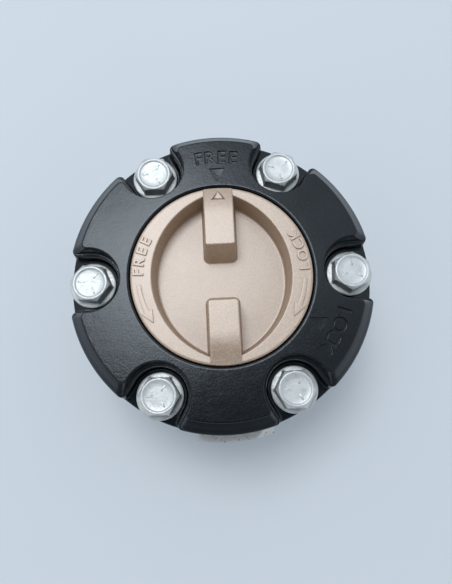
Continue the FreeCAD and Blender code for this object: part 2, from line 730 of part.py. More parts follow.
def make_flange_bolt():
    """Flange bolt: dished hexagon head, a neck thinner than the rolled thread, which is left plain."""
    head_top_height = seat_height + bolt_head_height
    flange_radius = bolt_flange_diameter / 2
    flange_top = seat_height + bolt_flange_thickness
    corner_radius = bolt_across_flats / 2 / math.cos(math.radians(30))
    dish_radius = bolt_across_flats / 2 - bolt_head_chamfer - bolt_dish_margin
    cone_radius = corner_radius + overcut
    cone_drop = (cone_radius - dish_radius - bolt_dish_margin) * bolt_chamfer_slope
    neck_radius = bolt_radius - bolt_neck_inset
    dish_floor = head_top_height - bolt_dish_depth
    corners = [polar(corner_radius, 60 * number, seat_height) for number in range(6)]
    hexagon = extruded(Part.makePolygon(corners + corners[:1]), bolt_head_height)
    cap = turned_profile([
        (0, seat_height), (cone_radius, seat_height), (cone_radius, head_top_height - cone_drop),
        (dish_radius + bolt_dish_margin, head_top_height), (0, head_top_height)])
    turned_part = turned_profile([
        (0, -bolt_protrusion), (bolt_radius - bolt_tip_chamfer, -bolt_protrusion),
        (bolt_radius, -bolt_protrusion + bolt_tip_chamfer), (bolt_radius, 0),
        (neck_radius, 0), (neck_radius, seat_height),
        (flange_radius, seat_height), (flange_radius, flange_top),
        (corner_radius - bolt_flange_step, flange_top + bolt_flange_slope),
        (0, flange_top + bolt_flange_slope)])
    dish = turned_profile([
        (0, dish_floor), (dish_radius - bolt_dish_depth, dish_floor),
        (dish_radius, head_top_height), (0, head_top_height)])
    return hexagon.common(cap).fuse(turned_part).cut(dish).removeSplitter()


def make_flange_bolts():
    """Six bolts, each left at its own angle by the wrench."""
    bolt = make_flange_bolt()
    bolts = []
    for number, angle in enumerate(bolt_angles):
        copy = turned(bolt, bolt_turn_angles[number % len(bolt_turn_angles)])
        copy.translate(polar(bolt_circle_radius, angle, 0))
        bolts.append(copy)
    return Part.Compound(bolts)


def make_dowel_pins():
    bottom = body_top - dowel_depth_in_body
    top = cover_bottom + dowel_depth_in_cover
    pin = turned_profile([
        (0, bottom), (dowel_radius - dowel_end_chamfer, bottom), (dowel_radius, bottom + dowel_end_chamfer),
        (dowel_radius, top - dowel_end_chamfer), (dowel_radius - dowel_end_chamfer, top), (0, top)])
    pins = []
    for place in dowel_places():
        copy = pin.copy()
        copy.translate(place)
        pins.append(copy)
    return Part.Compound(pins)


nodes = {
    "body": make_body(),
    "hub_ring": make_hub_ring(),
    "body_snap_ring": make_body_snap_ring(),
    "inner_hub": make_inner_hub(),
    "thrust_washer": make_thrust_washer(),
    "spacer": make_spacer(),
    "inner_snap_ring": make_eared_snap_ring(journal_radius, inner_ring_top - snap_ring_thickness),
    "clutch": make_clutch(),
    "tension_spring": make_tension_spring(),
    "follower": make_follower(),
    "compression_spring": make_compression_spring(),
    "cover_gasket": make_cover_gasket(),
    "cover": make_cover(),
    "dial": make_dial(),
    "dial_o_ring": make_dial_o_ring(),
    "dial_snap_ring": make_eared_snap_ring(skirt_radius, dial_ring_bottom),
    "detent_ball": make_detent_ball(),
    "detent_spring": make_detent_spring(),
    "flange_bolts": make_flange_bolts(),
    "dowel_pins": make_dowel_pins(),
}

for name, shape in nodes.items():
    box = shape.BoundBox
    print(name, "valid", shape.isValid(), "solids", len(shape.Solids), "volume", round(shape.Volume, 1),
          "z", round(box.ZMin, 2), round(box.ZMax, 2))
    shape.exportStep("parts/" + name + ".step")
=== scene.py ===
import math

import bmesh
import bpy
import numpy as np
from mathutils import Matrix, Vector


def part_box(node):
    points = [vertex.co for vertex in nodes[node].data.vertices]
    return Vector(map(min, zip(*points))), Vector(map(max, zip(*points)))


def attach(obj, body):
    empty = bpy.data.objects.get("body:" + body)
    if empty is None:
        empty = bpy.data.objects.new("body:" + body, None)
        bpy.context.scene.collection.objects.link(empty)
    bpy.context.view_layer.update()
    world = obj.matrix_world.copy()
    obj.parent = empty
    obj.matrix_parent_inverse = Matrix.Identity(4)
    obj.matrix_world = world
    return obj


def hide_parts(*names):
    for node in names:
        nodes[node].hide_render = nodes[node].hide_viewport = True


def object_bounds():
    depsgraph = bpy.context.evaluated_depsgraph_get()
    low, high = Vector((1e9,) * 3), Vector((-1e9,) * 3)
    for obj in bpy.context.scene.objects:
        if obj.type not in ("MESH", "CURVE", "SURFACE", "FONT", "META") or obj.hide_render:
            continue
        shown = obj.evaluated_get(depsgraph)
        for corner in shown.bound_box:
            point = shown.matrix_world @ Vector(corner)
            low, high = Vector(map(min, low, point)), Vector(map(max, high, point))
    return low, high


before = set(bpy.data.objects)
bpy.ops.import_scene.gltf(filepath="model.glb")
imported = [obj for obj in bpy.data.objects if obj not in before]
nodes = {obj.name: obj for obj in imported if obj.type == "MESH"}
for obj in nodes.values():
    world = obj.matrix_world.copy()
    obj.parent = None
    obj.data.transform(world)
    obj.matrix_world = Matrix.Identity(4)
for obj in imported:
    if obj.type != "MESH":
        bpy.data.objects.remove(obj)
cad_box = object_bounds()

# Cover: a light-alloy die casting, sprayed with black satin paint. Six lobes stand between the bolt
# pockets, and a web inside carries the dial. It is held to the body by the six flange bolts.
MM = 0.001
cover_low, cover_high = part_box("cover")
cover_radius = cover_high.x / MM
cover_bottom = cover_low.z / MM
cover_top = cover_high.z / MM
bolt_count = 6
bolt_spacing = 360 / bolt_count
bolt_circle = cover_radius - 7.4
seat_height = cover_top - 10.0
bolt_hole_radius = 4.5
overcut = 1.0
mark_lift = 0.2
bevel_bottom = cover_top - 5.1
bevel_slope = 4.1 / 5.1
dial_bore = 31.0
web_top = cover_top - 12.3
web_bottom = web_top - 3.5
web_hole = 24.1
cavity_radius = 35.5
sharp_angle = 32.0


class Shade:
    """One socket of a material's node tree, so that shader maths is written as Python expressions."""

    def __init__(self, tree, socket=None):
        self.tree = tree
        self.socket = socket

    def node(self, kind, inputs=None, output=0, stops=None, **settings):
        """Adds a node: its settings first, then a ramp's stops, then the values or links of its sockets."""
        made = self.tree.nodes.new(kind)
        for name, value in settings.items():
            setattr(made, name, value)
        if stops:
            while len(made.color_ramp.elements) < len(stops):
                made.color_ramp.elements.new(0.5)
            for element, (place, colour) in zip(made.color_ramp.elements, stops):
                element.position = place
                element.color = colour
        for name, value in (inputs or {}).items():
            if isinstance(value, Shade):
                self.tree.links.new(value.socket, made.inputs[name])
            else:
                made.inputs[name].default_value = value
        return Shade(self.tree, made.outputs[output])

    def maths(self, operation, other=None):
        inputs = {0: self} if other is None else {0: self, 1: other}
        return self.node("ShaderNodeMath", inputs, operation=operation)

    def __add__(self, other):
        return self.maths("ADD", other)

    def __mul__(self, other):
        return self.maths("MULTIPLY", other)

    def __rsub__(self, other):
        return (self * -1.0) + other

    __radd__ = __add__
    __rmul__ = __mul__

    def over(self, low, high):
        """This value as a share of the way from low to high, held between 0 and 1."""
        inputs = {"Value": self, "From Min": low, "From Max": high, "To Min": 0.0, "To Max": 1.0}
        return self.node("ShaderNodeMapRange", inputs, clamp=True)

    def blend(self, first, second):
        """A colour part of the way from first to second, by this value."""
        inputs = {"Factor": self, 6: first, 7: second}
        return self.node("ShaderNodeMix", inputs, output=2, data_type="RGBA")

    def noise(self, scale, detail=2.0, roughness=0.5):
        """Noise on the object's own coordinates; scale is in features per metre."""
        place = self.node("ShaderNodeTexCoord", output=3)
        inputs = {"Vector": place, "Scale": scale, "Detail": detail, "Roughness": roughness}
        return self.node("ShaderNodeTexNoise", inputs)

    def cells(self, scale):
        """Distance to the nearest point of a random scatter, for speckles and cast grain."""
        place = self.node("ShaderNodeTexCoord", output=3)
        return self.node("ShaderNodeTexVoronoi", {"Vector": place, "Scale": scale})

    def bump(self, strength, depth, before=None):
        inputs = {"Strength": strength, "Distance": depth, "Height": self}
        if before is not None:
            inputs["Normal"] = before
        return self.node("ShaderNodeBump", inputs)


def new_finish(name, **fixed):
    """A principled material. What is the same all over is set on the shader's own sockets."""
    material = bpy.data.materials.new(name)
    material.use_nodes = True
    shader = material.node_tree.nodes["Principled BSDF"]
    for socket, value in fixed.items():
        shader.inputs[socket.replace("_", " ")].default_value = value
    return material, shader, Shade(material.node_tree)


def feed(material, shader, **links):
    """Links the shader's sockets to what varies over the surface."""
    for socket, value in links.items():
        material.node_tree.links.new(value.socket, shader.inputs[socket.replace("_", " ")])
    return material


def black_paint():
    """Black satin paint on a fine cast skin: small orange-peel bumps, and pale specks painted in as glints."""
    material, shader, s = new_finish("black_satin_paint", Metallic=0.0, Specular_IOR_Level=0.42,
                                     Specular_Tint=(0.84, 0.93, 1.0, 1))
    grain = s.noise(1500.0, 3.0, 0.6)
    patches = s.noise(55.0, 3.0, 0.55)
    # painted glints: pale specks mixed into the colour stand for the paint's speckled highlights
    glint_speck = s.noise(3200.0, 1.0, 0.5).over(0.66, 0.74)
    ground = patches.over(0.3, 0.7).blend((0.001, 0.002, 0.004, 1), (0.003, 0.005, 0.008, 1))
    colour = (glint_speck * 0.3).blend(ground, (0.07, 0.074, 0.08, 1))
    rough = 0.12 + 0.10 * patches + 0.12 * grain
    normal = grain.bump(0.45, 0.00008)
    normal = s.noise(240.0, 2.0, 0.5).bump(0.12, 0.0003, normal)
    return feed(material, shader, Base_Color=colour, Roughness=rough, Normal=normal)


def skin(name, rings, material, closed=False, cap=False):
    """A mesh through rings of points in millimetres, one row of the array for each ring.

    Each ring closes on itself. With closed, the last ring also joins the first, as on a tube bent
    round into a hoop. With cap, each end ring is filled by one face. Doubled points are merged,
    and the normals are turned outwards.
    """
    rows, columns = rings.shape[:2]
    index = np.arange(rows * columns).reshape(rows, columns)
    if closed:
        index = np.vstack([index, index[:1]])
    first, second = index[:-1], index[1:]
    faces = np.stack([first, np.roll(first, -1, 1), np.roll(second, -1, 1), second], axis=-1).reshape(-1, 4)
    polygons = faces.tolist()
    if cap:
        polygons.append(index[0][::-1].tolist())
        polygons.append(index[-1].tolist())
    mesh = bpy.data.meshes.new(name)
    mesh.from_pydata((rings.reshape(-1, 3) * MM).tolist(), [], polygons)
    return settle(name, mesh, material)


def settle(name, mesh, material, angle=sharp_angle):
    """Cleans a mesh, points its faces outwards, shades it smooth but for sharp edges, and links it."""
    work = bmesh.new()
    work.from_mesh(mesh)
    bmesh.ops.remove_doubles(work, verts=work.verts, dist=2e-6)
    bmesh.ops.dissolve_degenerate(work, edges=work.edges, dist=1e-7)
    bmesh.ops.recalc_face_normals(work, faces=work.faces)
    work.to_mesh(mesh)
    work.free()
    mesh.polygons.foreach_set("use_smooth", np.ones(len(mesh.polygons), bool))
    mesh.set_sharp_from_angle(angle=math.radians(angle))
    mesh.materials.clear()
    if material:
        mesh.materials.append(material)
    piece = bpy.data.objects.new(name, mesh)
    bpy.context.scene.collection.objects.link(piece)
    return piece


def carve(piece, cutters):
    """Cuts the cutters out of a piece, and removes them."""
    joined = join_meshes("cutter", [c.data for c in cutters])
    cutter = bpy.data.objects.new("cutter", joined)
    bpy.context.scene.collection.objects.link(cutter)
    modifier = piece.modifiers.new("cut", "BOOLEAN")
    modifier.operation = "DIFFERENCE"
    modifier.solver = "EXACT"
    modifier.use_self = True
    modifier.object = cutter
    evaluated = piece.evaluated_get(bpy.context.evaluated_depsgraph_get())
    mesh = bpy.data.meshes.new_from_object(evaluated)
    mesh.name = piece.name
    piece.modifiers.clear()
    piece.data = mesh
    mesh.polygons.foreach_set("use_smooth", np.ones(len(mesh.polygons), bool))
    mesh.set_sharp_from_angle(angle=math.radians(sharp_angle))
    for spare in [cutter, *cutters]:
        bpy.data.objects.remove(spare)
    return piece


def join_meshes(name, meshes):
    """One mesh that holds the points and faces of several."""
    work = bmesh.new()
    for mesh in meshes:
        work.from_mesh(mesh)
    joined = bpy.data.meshes.new(name)
    work.to_mesh(joined)
    work.free()
    return joined


def around(centre, radius, start, end, count):
    """Points in plan on an arc between two angles in degrees."""
    angle = np.radians(np.linspace(start, end, count))
    return np.column_stack([centre[0] + radius * np.cos(angle), centre[1] + radius * np.sin(angle)])


def lobed_ring(outer, half_width, height):
    """The outline of the lobes at one height.

    The outer circle is broken by a U-shaped pocket at each bolt: two straight sides and a half circle
    about the bolt. The corners between pocket and circle are rounded as far as the straight sides allow.
    """
    room = (outer ** 2 - half_width ** 2 - bolt_circle ** 2) / (2 * (outer + half_width))
    corner = min(1.6, 0.92 * room)
    middle = (math.sqrt((outer - corner) ** 2 - (half_width + corner) ** 2), half_width + corner)
    slant = math.degrees(math.atan2(middle[1], middle[0]))
    round_in = around(middle, corner, slant, -90, 9)
    side = np.linspace((middle[0], half_width), (bolt_circle, half_width), 4)[1:-1]
    half_circle = around((bolt_circle, 0), half_width, 90, 270, 37)
    lobe = around((0, 0), outer, slant, 360 / bolt_count - slant, 49)[1:-1]
    flip = np.array([1, -1])
    pocket = np.vstack([round_in[::-1], lobe])
    outline = np.vstack([(round_in * flip), (side * flip), half_circle[::-1], side[::-1], pocket])
    return stack_turns(outline, height)


def stack_turns(outline, height):
    """Six copies of a stretch of outline round the axis, at one height."""
    turns = []
    for number in range(bolt_count):
        angle = math.radians(360 / bolt_count * number)
        spin = np.array([[math.cos(angle), math.sin(angle)], [-math.sin(angle), math.cos(angle)]])
        turns.append(outline @ spin)
    plan = np.vstack(turns)
    return np.column_stack([plan, np.full(len(plan), height)])


def matched_ring(radius, height, pull=0.0):
    """A circle with one point for each point of the lobed outline, spread by the outline's own length.

    Pull draws the circle in, within the pockets alone, to soften their rim.
    """
    guide = lobed_ring(cover_radius, 9.3, 0)[:, :2]
    stretch = len(guide) // bolt_count
    lobe_start = stretch - 47 - 9
    outer_angle = np.degrees(np.arctan2(guide[lobe_start + 8, 1], guide[lobe_start + 8, 0]))
    pocket = guide[:lobe_start + 9]
    run = np.concatenate([[0], np.cumsum(np.linalg.norm(np.diff(pocket, axis=0), axis=1))])
    angles = np.concatenate([
        -outer_angle + 2 * outer_angle * run / run[-1],
        np.linspace(outer_angle, 360 / bolt_count - outer_angle, 49)[1:-1]])
    inside = np.zeros(stretch)
    inside[:lobe_start + 9] = np.clip(12 * np.minimum(run, run[-1] - run) / run[-1], 0, 1)
    reach = radius - pull * inside
    plan = np.column_stack([reach * np.cos(np.radians(angles)), reach * np.sin(np.radians(angles))])
    return stack_turns(plan, height)


def cover_rings():
    """The cover's section as rings: up the outside, over the lobes, down the bore and through the web."""
    rings = [
        matched_ring(cavity_radius, cover_bottom), matched_ring(cover_radius - 0.8, cover_bottom),
        matched_ring(cover_radius - 0.25, cover_bottom + 0.22), matched_ring(cover_radius, cover_bottom + 0.8),
        matched_ring(cover_radius, seat_height - 0.5), matched_ring(cover_radius, seat_height - 0.18, 0.12),
        matched_ring(cover_radius, seat_height, 0.5)]
    for share in (0.0, 0.35, 0.7, 1.0):
        rise = 0.7 * (1 - math.cos(share * math.pi / 2))
        rings.append(lobed_ring(cover_radius, 8.6 + 0.7 * math.sin(share * math.pi / 2), seat_height + rise))
    rings.append(lobed_ring(cover_radius, 9.72, bevel_bottom - 0.5))
    for share in (0.0, 0.4, 0.75, 1.0):
        turn = share * math.pi / 2
        rings.append(lobed_ring(cover_radius, 9.8 + 0.35 * (1 - math.cos(turn)),
                                bevel_bottom - 0.35 + 0.35 * math.sin(turn)))
    rings.append(lobed_ring(cover_radius, 10.45, bevel_bottom))
    rings.append(lobed_ring(cover_radius - 0.05, 10.58, bevel_bottom + 0.12))
    rings.append(lobed_ring(cover_radius - 0.22, 10.65, bevel_bottom + 0.5))
    edge = 0.35
    for height in (1.1, 2.6, 5.1 - edge):
        rings.append(lobed_ring(cover_radius - bevel_slope * height, 10.6 + 0.078 * height,
                                bevel_bottom + height))
    top_radius = cover_radius - bevel_slope * 5.1
    for share in (0.15, 0.3, 0.45, 0.6, 0.75, 0.9, 1.0):
        start, corner, end = (1 - share) ** 2, 2 * share * (1 - share), share ** 2
        outer = top_radius + start * bevel_slope * edge - end * edge
        width = 11.0 - start * 0.08 + end * edge
        rings.append(lobed_ring(outer, width, cover_top - start * edge))
    rings.append(lobed_ring(top_radius - edge - 0.15, 11.0 + edge + 0.1, cover_top))
    rings.append(matched_ring(dial_bore + 1.1, cover_top))
    rings.append(matched_ring(dial_bore + 0.75, cover_top))
    for share in (0.33, 0.66, 1.0):
        turn = share * math.pi / 2
        rings.append(matched_ring(dial_bore + 0.75 - 0.75 * math.sin(turn),
                                  cover_top - 0.6 * (1 - math.cos(turn))))
    rings += [
        matched_ring(dial_bore, web_top + 0.4), matched_ring(dial_bore, web_top),
        matched_ring(web_hole, web_top), matched_ring(web_hole, web_bottom),
        matched_ring(cavity_radius, web_bottom)]
    return np.array(rings)


def round_bar(radius, low, high, centre=(0, 0), count=48):
    """A plain cylinder's rings, for holes and pins."""
    plan = around(centre, radius, 0, 360, count + 1)[:-1]
    return np.array([np.column_stack([plan, np.full(count, z)]) for z in (low, high)])


def letters(word, size, radius, middle_angle, pitch, depth, bevel, tops_out=True, widen=0.04):
    """Raised letters along a circle, in the plane z = 0, each letter turned to face the axis or away.

    Letters are extruded by depth both ways, with a bevel, and their strokes widened on each side. Pitch
    is the arc length from one to the next.
    """
    meshes = []
    step = math.degrees(pitch / radius)
    for place, letter in enumerate(word):
        curve = bpy.data.curves.new("letter", "FONT")
        curve.body = letter
        curve.size = size * MM / 0.72
        curve.align_x = "CENTER"
        curve.align_y = "CENTER"
        curve.extrude = (depth - bevel) * MM
        curve.bevel_depth = bevel * MM
        curve.resolution_u = 4
        curve.offset = widen * MM
        source = bpy.data.objects.new("letter", curve)
        bpy.context.scene.collection.objects.link(source)
        evaluated = source.evaluated_get(bpy.context.evaluated_depsgraph_get())
        mesh = bpy.data.meshes.new_from_object(evaluated)
        bpy.data.objects.remove(source)
        corners = np.empty(len(mesh.vertices) * 3)
        mesh.vertices.foreach_get("co", corners)
        corners = corners.reshape(-1, 3)
        centre = (corners.max(0) + corners.min(0)) / 2
        offset = (place - (len(word) - 1) / 2) * step
        angle = middle_angle - offset if tops_out else middle_angle + offset
        facing = angle - 90 if tops_out else angle + 90
        turn = Matrix.Rotation(math.radians(facing), 4, "Z")
        out = Vector((math.cos(math.radians(angle)), math.sin(math.radians(angle)), 0)) * radius * MM
        mesh.transform(Matrix.Translation(out) @ turn @ Matrix.Translation((-centre[0], -centre[1], 0)))
        meshes.append(mesh)
    return join_meshes(word, meshes)


def plate(name, plan, height, depth, bevel):
    """A flat shape in plan with bevelled edges, reaching depth above and below a height."""
    curve = bpy.data.curves.new(name, "CURVE")
    curve.dimensions = "2D"
    curve.fill_mode = "BOTH"
    curve.extrude = (depth - bevel) * MM
    curve.bevel_depth = bevel * MM
    curve.offset = -bevel * MM
    spline = curve.splines.new("POLY")
    spline.points.add(len(plan) - 1)
    corners = np.column_stack([np.asarray(plan) * MM, np.zeros(len(plan)), np.ones(len(plan))])
    spline.points.foreach_set("co", corners.ravel())
    spline.use_cyclic_u = True
    source = bpy.data.objects.new(name, curve)
    bpy.context.scene.collection.objects.link(source)
    evaluated = source.evaluated_get(bpy.context.evaluated_depsgraph_get())
    mesh = bpy.data.meshes.new_from_object(evaluated)
    bpy.data.objects.remove(source)
    mesh.transform(Matrix.Translation((0, 0, height * MM)))
    return settle(name, mesh, None)


def turned_plan(plan, angle):
    """Plan points turned about the axis."""
    turn = math.radians(angle)
    return np.asarray(plan) @ np.array([[math.cos(turn), math.sin(turn)], [-math.sin(turn), math.cos(turn)]])


paint_black = black_paint()
cover = skin("painted_cover", cover_rings(), paint_black, closed=True)
cuts = []
for number in range(bolt_count):
    centre = around((0, 0), bolt_circle, bolt_spacing * number, bolt_spacing * number, 1)[0]
    hole = round_bar(bolt_hole_radius, cover_bottom - overcut, seat_height + overcut, centre)
    cuts.append(skin("hole", hole, None, cap=True))
for angle in (90.0, -30.0):
    word, size, reach, pitch = ("FREE", 4.6, 42.1, 4.0) if angle > 0 else ("LOCK", 4.9, 42.3, 4.3)
    text = letters(word, size, reach, angle, pitch, depth=0.8, bevel=0.22)
    text.transform(Matrix.Translation((0, 0, (cover_top + mark_lift) * MM)))
    cuts.append(settle("word", text, None))
    mark = turned_plan([(0.0, 32.3), (2.75, 37.9), (-2.75, 37.9)], angle - 90)
    cuts.append(plate("mark", mark, cover_top + mark_lift, depth=0.75, bevel=0.2))
cover = carve(cover, cuts)
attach(cover, "housing")
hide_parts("cover")

# Dial: a die casting in champagne paint, turned by hand through its two grip bars. It sits flush in the
# cover's bore; a skirt below passes the web and carries three helical cam slots for the clutch's follower.
dial_low, dial_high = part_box("dial")
dial_radius = dial_high.x / MM
dial_top = cover_top
dial_floor = dial_top - 9.0
dial_bottom = dial_top - 12.0
skirt_bottom = dial_low.z / MM
skirt_radius = dial_radius - 6.8
skirt_bore = skirt_radius - 3.5
bar_peak = dial_high.z / MM
flat_end = 20.0
lens_offset = 6.1
lens_radius = dial_radius - 1.1
ring_seat = 29.35
groove_low, groove_high, groove_depth = 28.85, 30.45, 1.35
slot_height, slot_half_height = 25.0, 1.8
travel, dial_turn = 8.0, 120.0
detent_reach, detent_bore, detent_depth = 26.8, 2.15, 7.5
bar_foot, bar_taper = 5.8, 0.8


def champagne_paint():
    """Champagne metallic paint: a bronze ground under a pale sheen of flakes, with fine grain."""
    material, shader, s = new_finish("champagne_paint", Metallic=0.1, IOR=3.1)
    patches = s.noise(60.0, 3.0, 0.55)
    grain = s.noise(2100.0, 2.0, 0.65)
    flake = s.cells(5200.0).over(0.0, 0.8)
    ground = patches.over(0.3, 0.7).blend((0.235, 0.135, 0.068, 1), (0.280, 0.170, 0.092, 1))
    colour = grain.over(0.42, 0.68).blend(ground, (0.42, 0.29, 0.18, 1))
    rough = 0.31 + 0.08 * patches + 0.18 * grain + 0.06 * flake
    normal = grain.bump(0.5, 0.00008)
    normal = s.noise(260.0, 2.0, 0.5).bump(0.12, 0.0003, normal)
    return feed(material, shader, Base_Color=colour, Roughness=rough, Normal=normal)


def lens_ring(radius, height, angles):
    """The grip pocket's outline, the overlap of two circles set off to the sides, as a radius by angle."""
    across = lens_offset * np.abs(np.cos(angles))
    reach = -across + np.sqrt(radius ** 2 - (lens_offset * np.sin(angles)) ** 2)
    return np.column_stack([reach * np.cos(angles), reach * np.sin(angles), np.full(len(angles), height)])


def round_ring(radius, height, angles):
    return np.column_stack([radius * np.cos(angles), radius * np.sin(angles), np.full(len(angles), height)])


def dial_rings():
    """The dial's section as rings, from the middle of its underside round to the middle of the pocket."""
    angles = np.radians(np.arange(0, 360, 0.75))
    section = [
        (0.0, dial_bottom), (skirt_bore - 0.3, dial_bottom), (skirt_bore, dial_bottom - 0.3),
        (skirt_bore, skirt_bottom + 0.3), (skirt_bore + 0.3, skirt_bottom), (skirt_radius - 0.3, skirt_bottom),
        (skirt_radius, skirt_bottom + 0.3), (skirt_radius, groove_low),
        (skirt_radius - groove_depth, groove_low), (skirt_radius - groove_depth, groove_high),
        (skirt_radius, groove_high), (skirt_radius, dial_bottom),
        (dial_radius - 0.3, dial_bottom), (dial_radius, dial_bottom + 0.3), (dial_radius, dial_floor + 0.9),
        (ring_seat, dial_floor + 0.9), (ring_seat, dial_floor + 3.1), (dial_radius, dial_floor + 3.1),
        (dial_radius, dial_top - 0.8), (dial_radius - 0.05, dial_top - 0.5),
        (dial_radius - 0.2, dial_top - 0.22), (dial_radius - 0.5, dial_top - 0.05),
        (dial_radius - 0.8, dial_top), (dial_radius - 0.95, dial_top)]
    rings = [round_ring(radius, height, angles) for radius, height in section]
    edge = 0.45
    rings.append(lens_ring(lens_radius + edge + 0.1, dial_top, angles))
    for share in (0.0, 0.2, 0.4, 0.6, 0.8, 1.0):
        turn = share * math.pi / 2
        rings.append(lens_ring(lens_radius + edge * (1 - math.sin(turn)),
                               dial_top - edge * (1 - math.cos(turn)), angles))
    corner = 0.8
    rings.append(lens_ring(lens_radius - 0.76, dial_floor + corner + 0.3, angles))
    for share in (0.0, 0.2, 0.4, 0.6, 0.8, 1.0):
        turn = share * math.pi / 2
        rings.append(lens_ring(lens_radius - 0.8 - corner * (1 - math.cos(turn)),
                               dial_floor + corner * (1 - math.sin(turn)), angles))
    rings.append(lens_ring(lens_radius - 0.8 - corner - 0.15, dial_floor, angles))
    for radius in (15.0, 8.0, 2.0, 0.0):
        rings.append(round_ring(radius, dial_floor, angles))
    return np.array(rings)


def bar_plan(half_width, nose, corner, outer):
    """A grip bar's outline in plan, at +Y: two straight sides, rounded nose corners and an arc at the rim."""
    side_end = math.sqrt(outer ** 2 - half_width ** 2)
    right = np.linspace((half_width, side_end), (half_width, nose + corner), 24)[:-1]
    right_corner = around((half_width - corner, nose + corner), corner, 0, -90, 12)
    front = np.linspace((half_width - corner, nose), (corner - half_width, nose), 9)[1:-1]
    left_corner = around((corner - half_width, nose + corner), corner, -90, -180, 12)
    left = np.linspace((-half_width, nose + corner), (-half_width, side_end), 24)[1:]
    lean = math.degrees(math.atan2(side_end, half_width))
    rim = around((0, 0), outer, 180 - lean, lean, 12)[1:-1]
    return np.vstack([right, right_corner, front, left_corner, left, rim])


def crown(reach):
    """Height of a bar's top by distance from the axis: level, then an arc that falls to the rim."""
    run, rise = dial_radius - flat_end, bar_peak - dial_top
    radius = (run ** 2 + rise ** 2) / (2 * rise)
    past = np.clip(reach - flat_end, 0, run)
    return bar_peak - radius + np.sqrt(radius ** 2 - past ** 2)


def bar_rings(turn):
    """A grip bar as rings: a foot fillet, drafted sides, a rounded top edge and a crowned top."""
    outer = dial_radius - 0.25
    foot = 6.0 if turn == 0 else 6.7

    def ring(share, inset, drop):
        half_width = bar_foot - bar_taper * share - inset
        nose = foot + (9.3 - foot) * share + inset
        corner = min(half_width, max(2.0 - 1.1 * share - 0.7 * inset, 0.2))
        plan = bar_plan(half_width, nose, corner, outer)
        top = crown(plan[:, 1]) - 0.02
        height = dial_floor + (top - dial_floor) * share - drop
        return np.column_stack([turned_plan(plan, turn), height])

    rings = [ring(0.0, bar_foot, 0.4), ring(0.0, -0.35, 0.4)]
    for share in (0.0, 0.25, 0.5, 0.75, 1.0):
        angle = share * math.pi / 2
        rings.append(ring(0.03 * (1 - math.cos(angle)), -0.3 * (1 - math.sin(angle)), 0.0))
    for share in (0.35, 0.65, 0.92):
        rings.append(ring(share, 0.0, 0.0))
    edge = 0.4
    for share in (0.0, 0.17, 0.33, 0.5, 0.67, 0.83, 1.0):
        angle = share * math.pi / 2
        rings.append(ring(1.0, edge * (1 - math.cos(angle)), edge * (1 - math.sin(angle))))
    for inset in (edge + 0.15, 2.0, 3.5, bar_foot - bar_taper):
        rings.append(ring(1.0, inset, 0.0))
    return np.array(rings)


def slot_cutter(number):
    """A helical bar that cuts one cam slot: it drops by the clutch's travel in a third of a turn."""
    steps = np.linspace(-6, 126, 45)
    angle = np.radians(90 + 120 * number + steps)
    height = slot_height - travel * steps / dial_turn
    rows = []
    inside, outside = skirt_bore - overcut, skirt_radius + overcut
    for radius, lift in ((inside, -slot_half_height), (outside, -slot_half_height),
                         (outside, slot_half_height), (inside, slot_half_height)):
        rows.append(np.column_stack([radius * np.cos(angle), radius * np.sin(angle), height + lift]))
    return skin("slot", np.array(rows).transpose(1, 0, 2), None, cap=True)


paint_champagne = champagne_paint()
dial = skin("painted_dial", dial_rings(), paint_champagne)
dial_cuts = [slot_cutter(number) for number in range(3)]
detent_hole = round_bar(detent_bore, dial_bottom - overcut, dial_bottom + detent_depth, (-detent_reach, 0))
dial_cuts.append(skin("hole", detent_hole, None, cap=True))
dial = carve(dial, dial_cuts)
bars = []
for turn in (0.0, 180.0):
    bars.append(skin("grip_bar", bar_rings(turn), paint_champagne))
mark_floor = crown(28.9) - 0.25
mark_rings = np.array([[(0, 28.8, 0), (-1.8, 26.5, 0), (1.8, 26.5, 0)],
                       [(0, 29.4, 2.0), (-2.75, 24.8, 2.0), (2.75, 24.8, 2.0)]]) + np.array([0, 0, mark_floor])
bars[0] = carve(bars[0], [skin("mark", mark_rings, None, cap=True)])


def arrow_plan(side):
    """A long thin arrow that follows the rim: a tapering tail, then a head, as points in plan."""
    tail, neck, tip = 5.8, 25.6, 34.4
    along = np.linspace(tail, neck, 14)
    width = np.linspace(0.68, 0.82, 14)
    middle = 27.75
    outside = [(middle + w, a) for w, a in zip(width, along)]
    inside = [(middle - w, a) for w, a in zip(width[::-1], along[::-1])]
    points = outside + [(middle + 2.0, neck - 0.4), (middle, tip), (middle - 2.0, neck - 0.4)] + inside
    angles = np.radians([-a if side > 0 else 180 + a for r, a in points])
    reach = np.array([r for r, a in points])
    return np.column_stack([reach * np.cos(angles), reach * np.sin(angles)])


raised = []
free_word = letters("FREE", 3.5, 27.9, 165.3, 3.75, depth=0.6, bevel=0.12, widen=0.032)
lock_word = letters("LOCK", 3.5, 27.9, 14.3, 3.95, depth=0.6, bevel=0.12, tops_out=False,
                    widen=0.032)
for word in (free_word, lock_word):
    word.transform(Matrix.Translation((0, 0, dial_top * MM)))
    raised.append(settle("word", word, paint_champagne))
for side in (1, -1):
    raised.append(plate("arrow", arrow_plan(side), dial_top, depth=0.6, bevel=0.12))
dial.data = join_meshes("painted_dial", [dial.data] + [piece.data for piece in bars + raised])
dial.data.materials.clear()
dial.data.materials.append(paint_champagne)
dial.data.polygons.foreach_set("material_index", np.zeros(len(dial.data.polygons), np.int32))
for piece in bars + raised:
    bpy.data.objects.remove(piece)
dial.data.polygons.foreach_set("use_smooth", np.ones(len(dial.data.polygons), bool))
dial.data.set_sharp_from_angle(angle=math.radians(sharp_angle))
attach(dial, "dial")
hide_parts("dial")

